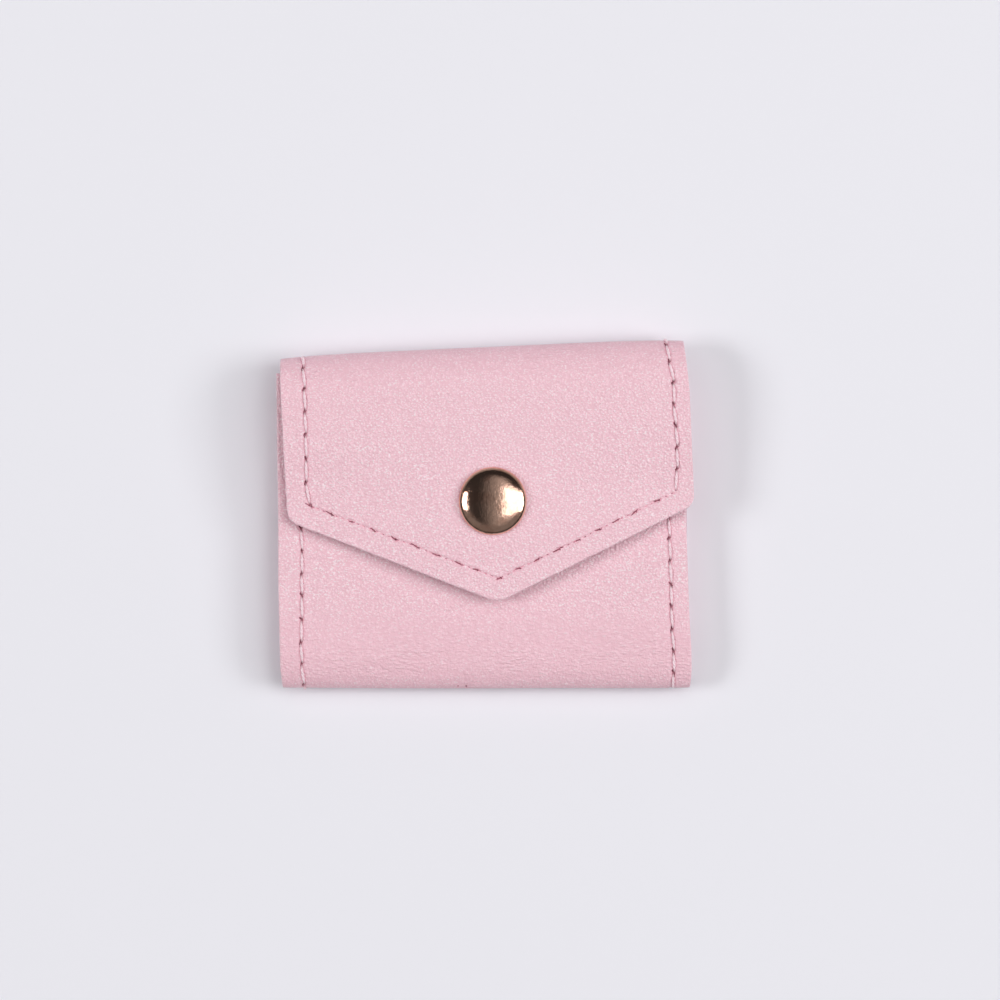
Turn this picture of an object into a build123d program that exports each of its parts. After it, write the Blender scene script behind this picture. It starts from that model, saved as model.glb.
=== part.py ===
from build123d import *
import os
from math import atan2, cos, degrees, hypot, radians, sin, sqrt

# A small envelope pouch of stitched leather, lying on its back. X runs along the width, Y from the
# bottom fold up to the top fold, and Z through the thickness. The pieces are drawn with Y zero at
# the bottom fold, and then moved so that the origin is in the middle of the back face. Lengths are
# in millimetres, angles in degrees.

# The strip of leather and its lining
strip_width = 75.0
leather = 0.9
lining = 0.5
panel = leather + lining

# Body: back panel, bottom fold and front panel
body_height = 62.6
mouth_drop = 4.4
pocket_gap = 4.8
bottom_fold_depth = 8.5

# Top fold, which is creased a little askew to the body, and the flap that hangs from it
top_fold_depth = 8.0
fold_skew_angle = 2.6
fold_shift = -0.3
fold_split_angle = 36.9
crease_gap = 0.16
flap_side = 30.2
flap_reach = 46.8
flap_tip_shift = 0.5
flap_corner_radius = 2.9
flap_tip_radius = 4.5
flap_gap = 2.7

# Seam: margins from the edges, stitches, and the channel that the thread lies in
seam_margin_left = 3.9
seam_margin_right = 3.2
flap_seam_margin = 4.1
stitch_pitch = 4.25
stitch_length = 3.3
stitch_end_height = 0.12
thread_width = 0.5
thread_clearance = 0.04
channel_width = 0.8
channel_depth = 0.35

# Side gussets, folded inwards between the panels
gusset_leather = 0.8
gusset_inset = 0.5
gusset_flange = 5.0
gusset_fold_depth = 6.5
gusset_drop = 1.2
gusset_end_clearance = 0.3

# Snap cap on the flap: a domed shell with a rolled rim
snap_depth = 28.06
snap_shift = 0.36
cap_radius = 6.25
cap_height = 2.3
cap_wall = 0.35
cap_rim_radius = 0.5
cap_shoulder_radius = 0.96
cap_rim_flat = 0.75

# Post that joins the cap to the socket
post_plate_radius = 5.6
post_plate_wall = 0.3
post_radius = 1.7
post_wall = 0.3
post_roll_radius = 2.4
post_roll_height = 0.25
rivet_clearance = 0.05

# Socket under the flap, with its ring spring
socket_radius = 5.4
socket_wall = 0.3
socket_lift = 0.2
barrel_radius = 3.7
chamber_radius = 3.0
lip_radius = 2.65
lip_height = 0.3
spring_wire = 0.5
spring_inner_radius = 2.2
spring_mouth_angle = 30.0
spring_clearance = 0.03

# Stud on the front panel, with the eyelet that rivets it
stud_flange_radius = 5.0
stud_wall = 0.35
stud_neck_radius = 2.1
stud_neck_height = 1.35
stud_head_radius = 2.3
stud_height = 1.8
eyelet_radius = 4.8
eyelet_wall = 0.35
eyelet_tube_radius = 1.25
eyelet_tube_wall = 0.3
eyelet_roll_radius = 1.75
eyelet_roll_height = 0.15

cut_overrun = 1.0
on_floor = (Align.CENTER, Align.CENTER, Align.MIN)
under_ceiling = (Align.CENTER, Align.CENTER, Align.MAX)

# Levels above the table, from the back face up to the flap
pocket_floor = panel
front_lining_level = pocket_floor + pocket_gap
front_leather_level = front_lining_level + lining
front_level = front_leather_level + leather
flap_lining_level = front_level + flap_gap
flap_leather_level = flap_lining_level + lining
flap_level = flap_leather_level + leather

half_width = strip_width / 2
front_height = body_height - mouth_drop
bottom_fold_half = front_level / 2
top_fold_half = flap_level / 2
seam_left = seam_margin_left - half_width
seam_right = half_width - seam_margin_right

# The skewed frame of the top fold: X along the fold, Y zero where the fold's bend begins
fold_turn = Location((0, 0, 0), (0, 0, fold_skew_angle))
fold_place = Location((fold_shift, body_height, 0)) * fold_turn * Location((0, -top_fold_depth, 0))
flap_side_line = top_fold_depth - flap_side
flap_tip_line = top_fold_depth - flap_reach
snap_line = top_fold_depth - snap_depth
snap_place = fold_place * Location((snap_shift, snap_line, 0))

# Moves the finished pieces so that the origin is in the middle of the back face
to_origin = Location((0, -body_height / 2, 0))


def across(face, width, middle=0):
    """Extrudes a face drawn in Y and Z to a width along X."""
    placed = Plane.YZ * face
    return Location((middle, 0, 0)) * extrude(placed, amount=width / 2, both=True)


def slab(face, bottom, height):
    """Raises a flat outline from a level by a height."""
    return Location((0, 0, bottom)) * extrude(face, amount=height, dir=(0, 0, 1))


def ellipse_ring(depth, half_height, outer_inset, inner_inset):
    """An elliptical ring whose two edges lie inside the ellipse of the bend by two insets."""
    outer = Ellipse(depth - outer_inset, half_height - outer_inset)
    inner = Ellipse(depth - inner_inset, half_height - inner_inset)
    return outer - inner


def bend_face(depth, half_height, outer_inset, inner_inset):
    """The half ring of a bend, bulging towards +X of its plane, clear of the crease beside it."""
    window = Rectangle(depth, half_height * 3, align=(Align.MIN, Align.CENTER))
    ring = ellipse_ring(depth, half_height, outer_inset, inner_inset)
    return ring & (Location((crease_gap / 2, 0)) * window)


def on_ellipse(depth, half_height, angle):
    """The point of an ellipse at a parameter angle."""
    return (depth * cos(radians(angle)), half_height * sin(radians(angle)))


def arc_run(depth, half_height, start, end):
    """Parameter angles along an arc of an ellipse, and the length run up to each of them."""
    fine_steps = 360
    angles = [start + (end - start) * step / fine_steps for step in range(fine_steps + 1)]
    points = [on_ellipse(depth, half_height, angle) for angle in angles]
    run = [0]
    for near, far in zip(points, points[1:]):
        run.append(run[-1] + hypot(far[0] - near[0], far[1] - near[1]))
    return angles, run


def even_angles(angles, run, count):
    """Parameter angles that divide an arc into equal lengths."""
    picked = []
    for index in range(count + 1):
        target = run[-1] * index / count
        nearest = min(range(len(run)), key=lambda step: abs(run[step] - target))
        picked.append(angles[nearest])
    return picked


def bend_sector(depth, half_height, start, end):
    """A wedge from the bend's centre that spans two parameter angles."""
    near = on_ellipse(depth * 2, half_height * 2, start)
    far = on_ellipse(depth * 2, half_height * 2, end)
    return Polygon((0, 0), near, far, align=None)


def crease_slot(angle):
    """The narrow slot across the top fold's thickness at a parameter angle."""
    point = on_ellipse(top_fold_depth, top_fold_half, angle)
    normal = degrees(atan2(point[1] / top_fold_half**2, point[0] / top_fold_depth**2))
    return Location((*point, 0), (0, 0, normal)) * Rectangle(panel * 3, crease_gap)


def top_fold_faces(outer_inset, inner_inset):
    """The lower, middle and upper stretches of the top fold, drawn in Y and Z."""
    ring = bend_face(top_fold_depth, top_fold_half, outer_inset, inner_inset)
    cut = ring - crease_slot(-fold_split_angle) - crease_slot(fold_split_angle)
    return cut.faces().sort_by(Axis.Y)


def fold_stretches(outer_inset, inner_inset):
    """The solids of the top fold's three stretches in the skewed frame."""
    raised = Location((0, 0, top_fold_half))
    return [
        raised * across(face, strip_width)
        for face in top_fold_faces(outer_inset, inner_inset)
    ]


def fold_channels():
    """Cutters for the thread channels that run over the top fold."""
    ring = ellipse_ring(top_fold_depth, top_fold_half, -cut_overrun, channel_depth)
    cutters = [across(ring, channel_width, seam) for seam in (seam_left, seam_right)]
    return Location((0, 0, top_fold_half)) * Compound(cutters)


def outer_fold_pieces():
    """Leather of the top fold, lower, middle and upper."""
    channels = fold_channels()
    return [fold_place * (piece - channels) for piece in fold_stretches(0, leather)]


def lining_fold_pieces():
    """Lining of the top fold, lower, middle and upper."""
    return [fold_place * piece for piece in fold_stretches(leather, panel)]


def back_outline():
    """The back panel from the bottom fold up to the askew line where the top fold begins."""
    low = bottom_fold_depth + crease_gap / 2
    tall = Rectangle(strip_width, body_height, align=(Align.CENTER, Align.MIN))
    above = Rectangle(strip_width * 2, body_height, align=(Align.CENTER, Align.MIN))
    return Location((0, low)) * tall - fold_place * (Location((0, -crease_gap / 2)) * above)


def j_face(outer_inset, inner_inset):
    """Bottom fold and front panel in one, drawn in Y and Z."""
    bend = bend_face(bottom_fold_depth, bottom_fold_half, outer_inset, inner_inset)
    turned = Location((bottom_fold_depth, bottom_fold_half, 0)) * mirror(bend, about=Plane.YZ)
    wall = inner_inset - outer_inset
    start = bottom_fold_depth - crease_gap
    flat = Rectangle(front_height - start, wall, align=(Align.MIN, Align.MAX))
    return turned + Location((start, front_level - outer_inset)) * flat


def straight(start, end):
    """The length of a run between two points, and the place of its middle along its direction."""
    run = (end[0] - start[0], end[1] - start[1])
    middle = ((start[0] + end[0]) / 2, (start[1] + end[1]) / 2, 0)
    return hypot(*run), Location(middle, (0, 0, degrees(atan2(run[1], run[0]))))


def channel(start, end, level):
    """Cutter for a straight thread channel whose floor is at a level, open upwards."""
    length, place = straight(start, end)
    block = Box(length + channel_width, channel_width, cut_overrun, align=on_floor)
    return Location((0, 0, level)) * place * block


def flap_corners():
    """The flap's outline points in the skewed frame: left side, tip and right side."""
    tip = (flap_tip_shift, flap_tip_line)
    return (-half_width, flap_side_line), tip, (half_width, flap_side_line)


def flap_outline():
    """The pointed flap, with rounded side corners and tip."""
    left, tip, right = flap_corners()
    top = -crease_gap / 2
    shape = Polygon((-half_width, top), left, tip, right, (half_width, top), align=None)
    lowest = shape.vertices().sort_by(Axis.Y)
    rounded = fillet(lowest[1:3], flap_corner_radius)
    return fillet(rounded.vertices().sort_by(Axis.Y)[0], flap_tip_radius)


def flap_seam():
    """Corner points of the flap's seam, from the left end of the crease round to the right end."""
    left, tip, right = flap_corners()
    rise_left = (left[1] - tip[1]) / (tip[0] - left[0])
    rise_right = (right[1] - tip[1]) / (right[0] - tip[0])
    lift_left = flap_seam_margin * sqrt(1 + rise_left**2)
    lift_right = flap_seam_margin * sqrt(1 + rise_right**2)
    tip_x = tip[0] + (lift_left - lift_right) / (rise_left + rise_right)
    tip_seam = tip[1] + rise_right * (tip_x - tip[0]) + lift_right
    corner_left = (seam_left, tip[1] + rise_left * (tip[0] - seam_left) + lift_left)
    corner_right = (seam_right, tip[1] + rise_right * (seam_right - tip[0]) + lift_right)
    top = -crease_gap / 2
    return [(seam_left, top), corner_left, (tip_x, tip_seam), corner_right, (seam_right, top)]


def back_seam(side):
    """Ends of a side seam on the back panel, up to the askew line of the top fold."""
    start = (fold_place * Location((-half_width, 0, 0))).position
    end = (fold_place * Location((half_width, 0, 0))).position
    share = (side - start.X) / (end.X - start.X)
    return (side, bottom_fold_depth), (side, start.Y + (end.Y - start.Y) * share)


def front_seam(side):
    """Ends of a side seam on the front panel, from the bottom fold to the mouth."""
    return (side, bottom_fold_depth), (side, front_height)


def rivet_hole(place, radius, bottom, height):
    """Cutter for the hole of a rivet through a panel."""
    hole = Cylinder(radius + rivet_clearance, height + cut_overrun * 2, align=on_floor)
    return place * Location((0, 0, bottom - cut_overrun)) * hole


def outer_back():
    """Leather of the back panel, with the two thread channels in its face."""
    part = slab(back_outline(), 0, leather)
    for side in (seam_left, seam_right):
        low, high = back_seam(side)
        length = high[1] - low[1] + channel_width * 2
        middle = (side, (low[1] + high[1]) / 2, channel_depth)
        cutter = Box(channel_width, length, cut_overrun, align=under_ceiling)
        part -= Location(middle) * cutter
    return part


def lining_back():
    """Lining of the back panel."""
    return slab(back_outline(), leather, lining)


def outer_front():
    """Leather of the bottom fold and front panel, with thread channels and the stud's hole."""
    part = across(j_face(0, leather), strip_width)
    ring = ellipse_ring(bottom_fold_depth, bottom_fold_half, -cut_overrun, channel_depth)
    half = Rectangle(bottom_fold_depth * 2, front_level * 2, align=(Align.MAX, Align.CENTER))
    bend_channel = Location((bottom_fold_depth, bottom_fold_half)) * (ring & half)
    for side in (seam_left, seam_right):
        part -= across(bend_channel, channel_width, side)
        part -= channel(*front_seam(side), front_level - channel_depth)
    return part - rivet_hole(snap_place, eyelet_tube_radius, front_leather_level, leather)


def lining_front():
    """Lining of the bottom fold and front panel."""
    part = across(j_face(leather, panel), strip_width)
    return part - rivet_hole(snap_place, eyelet_tube_radius, front_lining_level, lining)


def outer_flap():
    """Leather of the flap, with its thread channel and the cap post's hole."""
    part = slab(flap_outline(), flap_leather_level, leather)
    corners = flap_seam()
    for start, end in zip(corners, corners[1:]):
        part -= channel(start, end, flap_level - channel_depth)
    part = fold_place * part
    return part - rivet_hole(snap_place, post_radius, flap_leather_level, leather)


def lining_flap():
    """Lining of the flap."""
    part = fold_place * slab(flap_outline(), flap_lining_level, lining)
    return part - rivet_hole(snap_place, post_radius, flap_lining_level, lining)


def gusset_room(depth, half_height):
    """The space inside a bend and along the strip beside it, drawn from the bend's centre."""
    bend = Ellipse(depth - panel - gusset_end_clearance, half_height - panel)
    along = Rectangle(body_height, half_height * 2 - panel * 2, align=(Align.MIN, Align.CENTER))
    return bend + along


def gusset(side):
    """A side gusset: two flanges against the linings and a fold that points into the pocket."""
    edge = half_width - gusset_inset
    crease = edge - gusset_flange
    low = pocket_floor
    high = front_lining_level
    middle = (low + high) / 2
    tip = crease - gusset_fold_depth
    slope = hypot(gusset_fold_depth, middle - low)
    across_leg = gusset_leather * slope / (middle - low)
    knee = crease + across_leg - gusset_leather * gusset_fold_depth / (middle - low)
    outline = Polygon(
        (edge, low),
        (crease, low),
        (tip, middle),
        (crease, high),
        (edge, high),
        (edge, high - gusset_leather),
        (knee, high - gusset_leather),
        (tip + across_leg, middle),
        (knee, low + gusset_leather),
        (edge, low + gusset_leather),
        align=None,
    )
    top = front_height - gusset_drop
    strip = extrude(Plane.XZ * outline, amount=top, dir=(0, 1, 0))
    part = strip if side > 0 else mirror(strip, about=Plane.YZ)
    over_bottom = gusset_room(bottom_fold_depth, bottom_fold_half)
    under_top = mirror(gusset_room(top_fold_depth, top_fold_half), about=Plane.YZ)
    part &= across(Location((bottom_fold_depth, bottom_fold_half)) * over_bottom, strip_width)
    return part & fold_place * across(Location((0, top_fold_half)) * under_top, strip_width * 2)


def flat_stitch():
    """One stitch along X, its crown level with the leather and its foot on the channel's floor."""
    foot = thread_clearance - channel_depth
    shoulder = foot + stitch_end_height
    end = stitch_length / 2
    outline = Polyline((-end, shoulder), (-end, foot), (end, foot), (end, shoulder))
    crown = ThreePointArc((end, shoulder), (0, 0), (-end, shoulder))
    face = make_face(outline.edges() + crown.edges())
    return extrude(Plane.XZ * face, amount=thread_width / 2, both=True)


def stitch_row(start, end, level):
    """Stitches along a straight seam, as many as its pitch allows, at even spacing."""
    length, place = straight(start, end)
    count = max(1, round(length / stitch_pitch))
    raised = Location((0, 0, level)) * place
    along = [length * (index + 0.5) / count - length / 2 for index in range(count)]
    return [raised * Location((step, 0, 0)) * flat_stitch() for step in along]


def bend_stitches(depth, half_height, start, end, side):
    """Stitches that lie along a bend, in the channel at one side."""
    fine_angles, run = arc_run(depth, half_height, start, end)
    count = max(1, round(run[-1] / stitch_pitch))
    angles = even_angles(fine_angles, run, count)
    ring = ellipse_ring(depth, half_height, 0, channel_depth - thread_clearance)
    gap_share = (1 - stitch_length / stitch_pitch) / 2
    row = []
    for near, far in zip(angles, angles[1:]):
        trim = (far - near) * gap_share
        face = ring & bend_sector(depth, half_height, near + trim, far - trim)
        row.append(across(face, thread_width, side))
    return row


def stitching_back():
    """Seam thread on the back face, in channels that keep it off the table."""
    over = Location((0, 0, 0), (0, 180, 0))
    rows = []
    for side in (seam_left, seam_right):
        low, high = back_seam(side)
        flipped = stitch_row((-low[0], low[1]), (-high[0], high[1]), 0)
        rows += [over * stitch for stitch in flipped]
    return Compound(rows)


def stitching_front():
    """Seam thread on the front panel and round the bottom fold."""
    place = Location((0, bottom_fold_depth, bottom_fold_half))
    rows = []
    for side in (seam_left, seam_right):
        rows += stitch_row(*front_seam(side), front_level)
        for stitch in bend_stitches(bottom_fold_depth, bottom_fold_half, -90, 90, side):
            rows.append(place * mirror(stitch, about=Plane.XZ))
    return Compound(rows)


def stitching_fold(start, end):
    """Seam thread on one stretch of the top fold, between two parameter angles."""
    place = fold_place * Location((0, 0, top_fold_half))
    rows = []
    for side in (seam_left, seam_right):
        rows += bend_stitches(top_fold_depth, top_fold_half, start, end, side)
    return place * Compound(rows)


def stitching_flap():
    """Seam thread round the flap, down one side, along the point and up the other side."""
    corners = flap_seam()
    rows = []
    for start, end in zip(corners, corners[1:]):
        rows += stitch_row(start, end, flap_level)
    return fold_place * Compound(rows)


def cap_section(inset):
    """Half section of the cap's dome, drawn in X and Z from its foot, pulled in by an inset."""
    radius = cap_radius - inset
    rim = cap_rim_radius - inset
    shoulder = cap_shoulder_radius - inset
    rise = cap_height - cap_rim_radius - inset
    reach = radius - shoulder
    dome = (reach**2 + rise**2 - shoulder**2) / (2 * (rise - shoulder))
    foot = inset
    top = cap_height - inset
    meet = dome / (dome - shoulder)
    turn_point = (reach * meet, top - dome + (dome - rise) * meet)
    half = atan2(turn_point[0], turn_point[1] - top + dome) / 2
    dome_middle = (dome * sin(half), top - dome + dome * cos(half))
    outline = [
        Polyline((0, top), (0, foot), (radius - rim, foot)),
        TangentArc((radius - rim, foot), (radius, foot + rim), tangent=(1, 0)),
        TangentArc((radius, foot + rim), turn_point, tangent=(0, 1)),
        ThreePointArc(turn_point, dome_middle, (0, top)),
    ]
    return make_face([edge for line in outline for edge in line.edges()])


def turned(section):
    """Turns a half section drawn in X and Z about the Z axis."""
    return revolve(Plane.XZ * section, Axis.Z)


def snap_cap():
    """Domed cap: a thin shell whose rim is rolled in underneath."""
    mouth = Cylinder(cap_radius - cap_rim_radius - cap_rim_flat, cap_wall * 2)
    shell = turned(cap_section(0)) - turned(cap_section(cap_wall)) - mouth
    return snap_place * Location((0, 0, flap_level)) * shell


def snap_cap_post():
    """Plate inside the cap with a tube that is rolled over under the socket's floor."""
    plate = flap_level + cap_wall
    roll = flap_lining_level - socket_wall
    bore = post_radius - post_wall
    section = Polygon(
        (0, plate),
        (0, plate + post_plate_wall),
        (post_plate_radius, plate + post_plate_wall),
        (post_plate_radius, plate),
        (post_radius, plate),
        (post_radius, roll),
        (post_roll_radius, roll),
        (post_roll_radius, roll - post_roll_height),
        (bore, roll - post_roll_height),
        (bore, plate),
        align=None,
    )
    return snap_place * turned(section)


def snap_socket():
    """Socket under the flap: a floor, and a barrel with a chamber above its lip."""
    top = flap_lining_level
    floor = top - socket_wall
    foot = front_level + stud_wall + socket_lift
    section = Polygon(
        (post_radius + rivet_clearance, top),
        (socket_radius, top),
        (socket_radius, floor),
        (barrel_radius, floor),
        (barrel_radius, foot),
        (lip_radius, foot),
        (lip_radius, foot + lip_height),
        (chamber_radius, foot + lip_height),
        (chamber_radius, floor),
        (post_radius + rivet_clearance, floor),
        align=None,
    )
    return snap_place * turned(section)


def snap_spring():
    """Open ring of spring wire that lies on the socket's lip round the stud's neck."""
    lip = front_level + stud_wall + socket_lift + lip_height
    centre = (spring_inner_radius + spring_wire / 2, lip + spring_wire / 2 + spring_clearance)
    section = Plane.XZ * (Location(centre) * Circle(spring_wire / 2))
    return snap_place * revolve(section, Axis.Z, revolution_arc=360 - spring_mouth_angle)


def snap_stud():
    """Stud on the front panel: a flange and a hollow neck with a swollen head."""
    bore = eyelet_tube_radius + rivet_clearance
    neck = front_level + stud_neck_height
    top = front_level + stud_height
    outline = Polyline(
        (stud_neck_radius, top),
        (bore, top),
        (bore, front_level),
        (stud_flange_radius, front_level),
        (stud_flange_radius, front_level + stud_wall),
        (stud_neck_radius, front_level + stud_wall),
        (stud_neck_radius, neck),
    )
    widest = (stud_head_radius, (neck + top) / 2)
    swell = ThreePointArc((stud_neck_radius, neck), widest, (stud_neck_radius, top))
    return snap_place * turned(make_face(outline.edges() + swell.edges()))


def snap_eyelet():
    """Eyelet behind the front panel, rolled over on top of the stud."""
    foot = front_lining_level - eyelet_wall
    top = front_level + stud_height
    bore = eyelet_tube_radius - eyelet_tube_wall
    section = Polygon(
        (0, foot),
        (eyelet_radius, foot),
        (eyelet_radius, front_lining_level),
        (eyelet_tube_radius, front_lining_level),
        (eyelet_tube_radius, top),
        (eyelet_roll_radius, top),
        (eyelet_roll_radius, top + eyelet_roll_height),
        (bore, top + eyelet_roll_height),
        (bore, front_lining_level),
        (0, front_lining_level),
        align=None,
    )
    return snap_place * turned(section)


def build():
    """All the pouch's pieces by name."""
    pieces = {
        "outer_back": outer_back(),
        "outer_front": outer_front(),
        "outer_flap": outer_flap(),
        "lining_back": lining_back(),
        "lining_front": lining_front(),
        "lining_flap": lining_flap(),
        "gusset_left": gusset(-1),
        "gusset_right": gusset(1),
        "stitching_back": stitching_back(),
        "stitching_front": stitching_front(),
        "stitching_flap": stitching_flap(),
        "snap_cap": snap_cap(),
        "snap_cap_post": snap_cap_post(),
        "snap_socket": snap_socket(),
        "snap_spring": snap_spring(),
        "snap_stud": snap_stud(),
        "snap_eyelet": snap_eyelet(),
    }
    stretches = ("lower", "middle", "upper")
    bounds = (-90, -fold_split_angle, fold_split_angle, 90)
    leathers = outer_fold_pieces()
    linings = lining_fold_pieces()
    for index, name in enumerate(stretches):
        pieces[f"outer_fold_{name}"] = leathers[index]
        pieces[f"lining_fold_{name}"] = linings[index]
        pieces[f"stitching_fold_{name}"] = stitching_fold(bounds[index], bounds[index + 1])
    return {name: to_origin * piece for name, piece in pieces.items()}


os.makedirs("parts", exist_ok=True)
for node, shape in build().items():
    export_step(shape, f"parts/{node}.step")
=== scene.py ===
import logging
from dataclasses import dataclass
from enum import Enum
from functools import cached_property
from math import cos, pi, radians, sin, tan

import bmesh
import bpy
import numpy as np
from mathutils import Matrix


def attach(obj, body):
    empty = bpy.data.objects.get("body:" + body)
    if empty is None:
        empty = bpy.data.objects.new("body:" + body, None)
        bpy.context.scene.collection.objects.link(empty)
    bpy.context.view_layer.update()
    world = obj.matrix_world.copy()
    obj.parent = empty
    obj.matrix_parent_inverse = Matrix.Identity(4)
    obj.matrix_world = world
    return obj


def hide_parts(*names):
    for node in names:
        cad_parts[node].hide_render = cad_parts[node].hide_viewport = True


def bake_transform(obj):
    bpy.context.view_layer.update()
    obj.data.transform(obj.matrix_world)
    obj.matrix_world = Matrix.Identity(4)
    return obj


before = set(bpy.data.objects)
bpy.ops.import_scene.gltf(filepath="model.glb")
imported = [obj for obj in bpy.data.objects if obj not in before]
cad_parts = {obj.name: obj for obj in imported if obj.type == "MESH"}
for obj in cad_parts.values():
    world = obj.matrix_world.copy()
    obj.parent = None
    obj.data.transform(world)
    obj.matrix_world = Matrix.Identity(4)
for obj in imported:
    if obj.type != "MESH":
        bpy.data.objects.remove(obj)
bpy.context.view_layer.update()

LOG = logging.getLogger("pouch")
MM = 0.001
BEND_STEPS = 721
Array = np.ndarray
Material = bpy.types.Material
Piece = bpy.types.Object
Socket = bpy.types.NodeSocket


class Layer(Enum):
    """The layers of the strip, from its face inwards."""

    LEATHER = "leather"
    LINING = "lining"


class Lie(Enum):
    """How a stitch lies on the leather."""

    PROUD = "proud"
    SUNK = "sunk"
    FLUSH = "flush"


def smooth(value: Array) -> Array:
    """Eases a share from 0 to 1, held at both ends."""
    held = np.clip(value, 0.0, 1.0)
    return held * held * (3.0 - 2.0 * held)


def bell(value: Array, width: float) -> Array:
    """A soft hump, 1 at value 0, that falls away over a width."""
    return np.exp(-(value / width) ** 2)


def value_noise(across: Array, along: Array, seed: int) -> Array:
    """Soft random waves over a plane, of one unit's length.

    Args:
        across: first coordinate of each point.
        along: second coordinate of each point.
        seed: picks the pattern.

    Returns:
        A height from -1 to 1 at each point.
    """
    side = 64
    table = np.random.default_rng(seed).uniform(-1.0, 1.0, (side, side))
    low_a, low_b = np.floor(across).astype(int), np.floor(along).astype(int)
    part_a, part_b = smooth(across - low_a), smooth(along - low_b)
    corner = [[table[(low_a + i) % side, (low_b + j) % side] for j in (0, 1)] for i in (0, 1)]
    near = corner[0][0] * (1 - part_b) + corner[0][1] * part_b
    far = corner[1][0] * (1 - part_b) + corner[1][1] * part_b
    return near * (1 - part_a) + far * part_a


def make_piece(name: str, points: Array, faces: list, material: Material,
               marks: dict[str, Array] | None = None, sharp: float = 50.0) -> Piece:
    """Makes one mesh piece in the shared frame.

    Args:
        name: the piece's name.
        points: its vertices in millimetres.
        faces: vertex numbers of each face.
        material: its finish.
        marks: values at each vertex that the finish reads, by name.
        sharp: angle in degrees above which an edge isn't smoothed.

    Returns:
        The new object.
    """
    mesh = bpy.data.meshes.new(name)
    mesh.from_pydata((np.asarray(points) * MM).tolist(), [], faces)
    for mark, values in (marks or {}).items():
        attribute = mesh.attributes.new(mark, "FLOAT", "POINT")
        attribute.data.foreach_set("value", np.asarray(values, np.float32).ravel())
    mesh.materials.append(material)
    mesh.shade_smooth()
    mesh.set_sharp_from_angle(angle=radians(sharp))
    mesh.validate()
    piece = bpy.data.objects.new(name, mesh)
    bpy.context.scene.collection.objects.link(piece)
    LOG.info("%s: %d vertices", name, len(points))
    return piece


def drop_loose(mesh: bpy.types.Mesh) -> None:
    """Deletes vertices that no face uses.

    Args:
        mesh: the mesh that is cleaned.
    """
    work = bmesh.new()
    work.from_mesh(mesh)
    bmesh.ops.delete(work, geom=[v for v in work.verts if not v.link_faces], context="VERTS")
    work.to_mesh(mesh)
    work.free()


def sheet_faces(grid: Array, shift: int, holed: Array | None = None) -> list:
    """Faces of a closed sheet whose lower vertices follow its upper ones.

    Args:
        grid: numbers of the upper vertices, in rows.
        shift: how many numbers later the lower vertices are.
        holed: which of the grid's squares lie in a hole.

    Returns:
        The faces, with their fronts outwards.
    """
    a, b, c, d = grid[:-1, :-1], grid[1:, :-1], grid[1:, 1:], grid[:-1, 1:]
    kept = np.ones(a.shape, bool) if holed is None else ~holed
    upper = np.stack([a, b, c, d], -1)[kept]
    lower = np.stack([d, c, b, a], -1)[kept] + shift
    left, right, head, foot = grid[:, 0], grid[:, -1], grid[0], grid[-1]
    walls = [np.stack([left[:-1], left[:-1] + shift, left[1:] + shift, left[1:]], -1),
             np.stack([right[:-1], right[1:], right[1:] + shift, right[:-1] + shift], -1),
             np.stack([head[:-1], head[1:], head[1:] + shift, head[:-1] + shift], -1),
             np.stack([foot[:-1], foot[:-1] + shift, foot[1:] + shift, foot[1:]], -1)]
    for first, second, one, other in ((grid[:-1, 1:-1], grid[1:, 1:-1], kept[:, :-1], kept[:, 1:]),
                                      (grid[1:-1, 1:], grid[1:-1, :-1], kept[:-1], kept[1:])):
        ahead = np.stack([first, second, second + shift, first + shift], -1)
        walls += [ahead[one & ~other], ahead[..., ::-1][other & ~one]]
    return np.concatenate([upper, lower, *walls]).tolist()


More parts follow.
